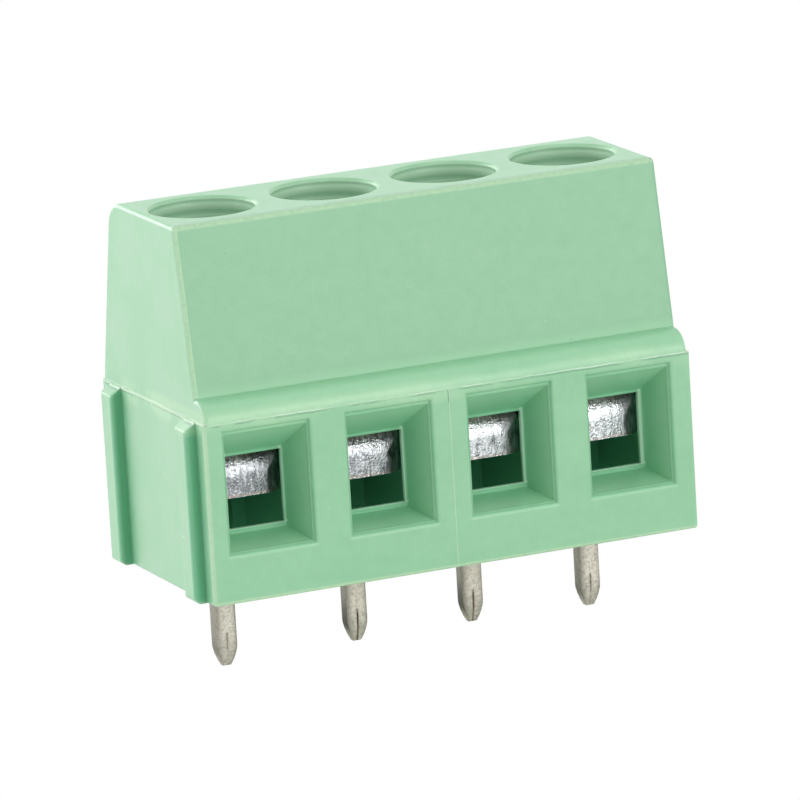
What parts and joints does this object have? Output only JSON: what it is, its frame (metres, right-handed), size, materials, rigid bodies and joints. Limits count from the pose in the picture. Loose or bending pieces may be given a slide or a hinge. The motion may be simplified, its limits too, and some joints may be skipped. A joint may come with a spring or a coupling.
{
  "type": "pcb screw terminal",
  "caption": "Green moulded screw terminal block for circuit boards with rising-cage wire clamps, driver holes on top, funnel wire entries, interlocking end rails and solder pins",
  "frame": {"origin": "On the board surface, in the middle of the row of solder pins.", "axes": "X runs along the row of poles, the wire entries face -Y, the driver holes face +Z. The board lies in the plane z = 0 and the pins reach below it."},
  "size_m": [0.0209, 0.0103, 0.0181],
  "materials": {
    "green_plastic": "Light green moulded polyamide, satin, with faint flow marks",
    "tinned_contact": "Tinned brass, dull with fine grey speckle",
    "plated_cage": "Bright nickel-plated sheet with a hammered, streaky surface",
    "plated_screw": "Zinc-plated steel, slotted head"
  },
  "bodies": {
    "block": {"housing": "green_plastic", "contact_1": "tinned_contact", "contact_2": "tinned_contact", "contact_3": "tinned_contact", "contact_4": "tinned_contact"},
    "cage_1": {"clamp_cage_1": "plated_cage"},
    "cage_2": {"clamp_cage_2": "plated_cage"},
    "cage_3": {"clamp_cage_3": "plated_cage"},
    "cage_4": {"clamp_cage_4": "plated_cage"},
    "screw_1": {"clamp_screw_1": "plated_screw"},
    "screw_2": {"clamp_screw_2": "plated_screw"},
    "screw_3": {"clamp_screw_3": "plated_screw"},
    "screw_4": {"clamp_screw_4": "plated_screw"}
  },
  "joints": [
    {"name": "turn_screw_1", "type": "hinge", "parent": "block", "child": "screw_1", "pos_m": [-0.00762, 0.00015, 0.0116], "axis": [0, 0, 1], "range_deg": [0, 2340]},
    {"name": "lift_cage_1", "type": "slide", "parent": "block", "child": "cage_1", "axis": [0, 0, 1], "range_m": [-0.00293, 0]},
    {"name": "turn_screw_2", "type": "hinge", "parent": "block", "child": "screw_2", "pos_m": [-0.00254, 0.00015, 0.0116], "axis": [0, 0, 1], "range_deg": [0, 2340]},
    {"name": "lift_cage_2", "type": "slide", "parent": "block", "child": "cage_2", "axis": [0, 0, 1], "range_m": [-0.00293, 0]},
    {"name": "turn_screw_3", "type": "hinge", "parent": "block", "child": "screw_3", "pos_m": [0.00254, 0.00015, 0.0116], "axis": [0, 0, 1], "range_deg": [0, 2340]},
    {"name": "lift_cage_3", "type": "slide", "parent": "block", "child": "cage_3", "axis": [0, 0, 1], "range_m": [-0.00293, 0]},
    {"name": "turn_screw_4", "type": "hinge", "parent": "block", "child": "screw_4", "pos_m": [0.00762, 0.00015, 0.0116], "axis": [0, 0, 1], "range_deg": [0, 2340]},
    {"name": "lift_cage_4", "type": "slide", "parent": "block", "child": "cage_4", "axis": [0, 0, 1], "range_m": [-0.00293, 0]}
  ],
  "couplings": [
    {"joint": "turn_screw_1", "follows": "lift_cage_1", "rad_per_m": -13963},
    {"joint": "turn_screw_2", "follows": "lift_cage_2", "rad_per_m": -13963},
    {"joint": "turn_screw_3", "follows": "lift_cage_3", "rad_per_m": -13963},
    {"joint": "turn_screw_4", "follows": "lift_cage_4", "rad_per_m": -13963}
  ]
}
